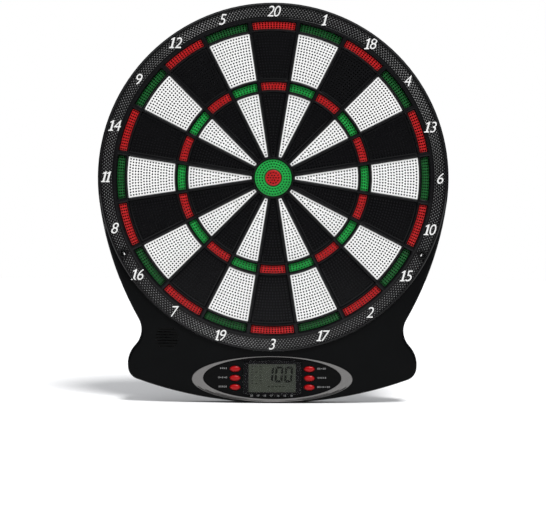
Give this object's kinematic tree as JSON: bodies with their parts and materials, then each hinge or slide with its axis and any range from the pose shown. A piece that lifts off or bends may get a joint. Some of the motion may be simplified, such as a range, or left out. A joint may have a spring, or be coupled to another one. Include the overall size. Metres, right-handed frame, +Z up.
{
  "type": "electronic dartboard",
  "caption": "Soft-tip electronic dartboard with a foam-backed perforated target, honeycomb catch ring, waisted foot, oval scoring console, display and push buttons.",
  "frame": {"origin": "on the wall plane, straight behind the bullseye", "axes": "+Z up, the face looks along -Y, the wall is on the +Y side"},
  "size_m": [0.446, 0.0282, 0.5087],
  "materials": {
    "housing_black": "glossy moulded ABS",
    "rear_black": "fine spark-eroded texture",
    "ring_black": "glossy moulded plastic, honeycomb face",
    "spider_black": "glossy moulded plastic",
    "segment_black": "satin polypropylene",
    "segment_white": "satin polypropylene",
    "segment_red": "satin polypropylene",
    "segment_green": "satin polypropylene",
    "number_white": "printed ink",
    "trim_silver": "metallic paint on plastic",
    "panel_black": "high gloss",
    "lens_clear": "clear acrylic with a black printed border",
    "lcd_grey": "reflective liquid crystal cell",
    "holder_black": "moulded",
    "strip_rubber": "layered conductive rubber",
    "keypad_rubber": "silicone",
    "button_red": "glossy",
    "foam_grey": "closed-cell foam",
    "film_clear": "printed polyester film",
    "film_white": "polyester film",
    "plate_grey": "hardboard",
    "board_green": "solder mask on laminate",
    "component_black": "moulded packages",
    "speaker_steel": "stamped steel",
    "cone_paper": "pressed paper",
    "magnet_grey": "ferrite",
    "wire_red": "PVC sleeve",
    "cell_jacket": "printed steel can",
    "contact_steel": "nickel-plated",
    "screw_steel": "zinc-plated"
  },
  "bodies": {
    "housing": {"front_housing": "housing_black", "rear_housing": "rear_black", "catch_ring": "ring_black", "spider": "spider_black", "segment_cushion": "foam_grey", "sensor_front_film": "film_clear", "sensor_spacer": "film_white", "sensor_rear_film": "film_clear", "backing_plate": "plate_grey", "ribbon_cable": "film_white", "oval_trim": "trim_silver", "console_panel": "panel_black", "display_lens": "lens_clear", "lcd_glass": "lcd_grey", "lcd_frame": "holder_black", "lcd_connector": "strip_rubber", "keypad": "keypad_rubber", "control_board": "board_green", "board_components": "component_black", "speaker_frame": "speaker_steel", "speaker_cone": "cone_paper", "speaker_magnet": "magnet_grey", "speaker_wires": "wire_red", "batteries": "cell_jacket", "battery_springs": "contact_steel", "battery_contacts": "contact_steel", "battery_wires": "wire_red", "housing_screws": "screw_steel", "ring_screws": "screw_steel", "plate_screws": "screw_steel", "board_screws": "screw_steel"},
    "battery_door": {"battery_door": "rear_black"},
    "outer_bull": {"outer_bull": "segment_green"},
    "inner_bull": {"inner_bull": "segment_red"},
    "sector_20": {"sector_20": "segment_black"},
    "sector_01": {"sector_01": "segment_white"},
    "sector_18": {"sector_18": "segment_black"},
    "sector_04": {"sector_04": "segment_white"},
    "sector_13": {"sector_13": "segment_black"},
    "sector_06": {"sector_06": "segment_white"},
    "sector_10": {"sector_10": "segment_black"},
    "sector_15": {"sector_15": "segment_white"},
    "sector_02": {"sector_02": "segment_black"},
    "sector_17": {"sector_17": "segment_white"},
    "sector_03": {"sector_03": "segment_black"},
    "sector_19": {"sector_19": "segment_white"},
    "sector_07": {"sector_07": "segment_black"},
    "sector_16": {"sector_16": "segment_white"},
    "sector_08": {"sector_08": "segment_black"},
    "sector_11": {"sector_11": "segment_white"},
    "sector_14": {"sector_14": "segment_black"},
    "sector_09": {"sector_09": "segment_white"},
    "sector_12": {"sector_12": "segment_black"},
    "sector_05": {"sector_05": "segment_white"},
    "button_left_top": {"button_left_top": "button_red"},
    "button_left_middle": {"button_left_middle": "button_red"},
    "button_left_bottom": {"button_left_bottom": "button_red"},
    "button_right_top": {"button_right_top": "button_red"},
    "button_right_middle": {"button_right_middle": "button_red"},
    "button_right_bottom": {"button_right_bottom": "button_red"}
  },
  "joints": [
    {"name": "sector_20_press", "type": "slide", "parent": "housing", "child": "sector_20", "axis": [0, 1, 0], "range_m": [0, 0.001], "stiffness_N_per_m": 2500},
    {"name": "sector_01_press", "type": "slide", "parent": "housing", "child": "sector_01", "axis": [0, 1, 0], "range_m": [0, 0.001], "stiffness_N_per_m": 2500},
    {"name": "sector_18_press", "type": "slide", "parent": "housing", "child": "sector_18", "axis": [0, 1, 0], "range_m": [0, 0.001], "stiffness_N_per_m": 2500},
    {"name": "sector_04_press", "type": "slide", "parent": "housing", "child": "sector_04", "axis": [0, 1, 0], "range_m": [0, 0.001], "stiffness_N_per_m": 2500},
    {"name": "sector_13_press", "type": "slide", "parent": "housing", "child": "sector_13", "axis": [0, 1, 0], "range_m": [0, 0.001], "stiffness_N_per_m": 2500},
    {"name": "sector_06_press", "type": "slide", "parent": "housing", "child": "sector_06", "axis": [0, 1, 0], "range_m": [0, 0.001], "stiffness_N_per_m": 2500},
    {"name": "sector_10_press", "type": "slide", "parent": "housing", "child": "sector_10", "axis": [0, 1, 0], "range_m": [0, 0.001], "stiffness_N_per_m": 2500},
    {"name": "sector_15_press", "type": "slide", "parent": "housing", "child": "sector_15", "axis": [0, 1, 0], "range_m": [0, 0.001], "stiffness_N_per_m": 2500},
    {"name": "sector_02_press", "type": "slide", "parent": "housing", "child": "sector_02", "axis": [0, 1, 0], "range_m": [0, 0.001], "stiffness_N_per_m": 2500},
    {"name": "sector_17_press", "type": "slide", "parent": "housing", "child": "sector_17", "axis": [0, 1, 0], "range_m": [0, 0.001], "stiffness_N_per_m": 2500},
    {"name": "sector_03_press", "type": "slide", "parent": "housing", "child": "sector_03", "axis": [0, 1, 0], "range_m": [0, 0.001], "stiffness_N_per_m": 2500},
    {"name": "sector_19_press", "type": "slide", "parent": "housing", "child": "sector_19", "axis": [0, 1, 0], "range_m": [0, 0.001], "stiffness_N_per_m": 2500},
    {"name": "sector_07_press", "type": "slide", "parent": "housing", "child": "sector_07", "axis": [0, 1, 0], "range_m": [0, 0.001], "stiffness_N_per_m": 2500},
    {"name": "sector_16_press", "type": "slide", "parent": "housing", "child": "sector_16", "axis": [0, 1, 0], "range_m": [0, 0.001], "stiffness_N_per_m": 2500},
    {"name": "sector_08_press", "type": "slide", "parent": "housing", "child": "sector_08", "axis": [0, 1, 0], "range_m": [0, 0.001], "stiffness_N_per_m": 2500},
    {"name": "sector_11_press", "type": "slide", "parent": "housing", "child": "sector_11", "axis": [0, 1, 0], "range_m": [0, 0.001], "stiffness_N_per_m": 2500},
    {"name": "sector_14_press", "type": "slide", "parent": "housing", "child": "sector_14", "axis": [0, 1, 0], "range_m": [0, 0.001], "stiffness_N_per_m": 2500},
    {"name": "sector_09_press", "type": "slide", "parent": "housing", "child": "sector_09", "axis": [0, 1, 0], "range_m": [0, 0.001], "stiffness_N_per_m": 2500},
    {"name": "sector_12_press", "type": "slide", "parent": "housing", "child": "sector_12", "axis": [0, 1, 0], "range_m": [0, 0.001], "stiffness_N_per_m": 2500},
    {"name": "sector_05_press", "type": "slide", "parent": "housing", "child": "sector_05", "axis": [0, 1, 0], "range_m": [0, 0.001], "stiffness_N_per_m": 2500},
    {"name": "outer_bull_press", "type": "slide", "parent": "housing", "child": "outer_bull", "axis": [0, 1, 0], "range_m": [0, 0.001], "stiffness_N_per_m": 2000},
    {"name": "inner_bull_press", "type": "slide", "parent": "housing", "child": "inner_bull", "axis": [0, 1, 0], "range_m": [0, 0.001], "stiffness_N_per_m": 1500},
    {"name": "button_left_top_press", "type": "slide", "parent": "housing", "child": "button_left_top", "axis": [0, 1, 0], "range_m": [0, 0.0008], "stiffness_N_per_m": 600},
    {"name": "button_left_middle_press", "type": "slide", "parent": "housing", "child": "button_left_middle", "axis": [0, 1, 0], "range_m": [0, 0.0008], "stiffness_N_per_m": 600},
    {"name": "button_left_bottom_press", "type": "slide", "parent": "housing", "child": "button_left_bottom", "axis": [0, 1, 0], "range_m": [0, 0.0008], "stiffness_N_per_m": 600},
    {"name": "button_right_top_press", "type": "slide", "parent": "housing", "child": "button_right_top", "axis": [0, 1, 0], "range_m": [0, 0.0008], "stiffness_N_per_m": 600},
    {"name": "button_right_middle_press", "type": "slide", "parent": "housing", "child": "button_right_middle", "axis": [0, 1, 0], "range_m": [0, 0.0008], "stiffness_N_per_m": 600},
    {"name": "button_right_bottom_press", "type": "slide", "parent": "housing", "child": "button_right_bottom", "axis": [0, 1, 0], "range_m": [0, 0.0008], "stiffness_N_per_m": 600},
    {"name": "battery_door_swing", "type": "hinge", "parent": "housing", "child": "battery_door", "pos_m": [0.1305, -0.0016, -0.2461], "axis": [-1, 0, 0], "range_deg": [0, 80]}
  ]
}
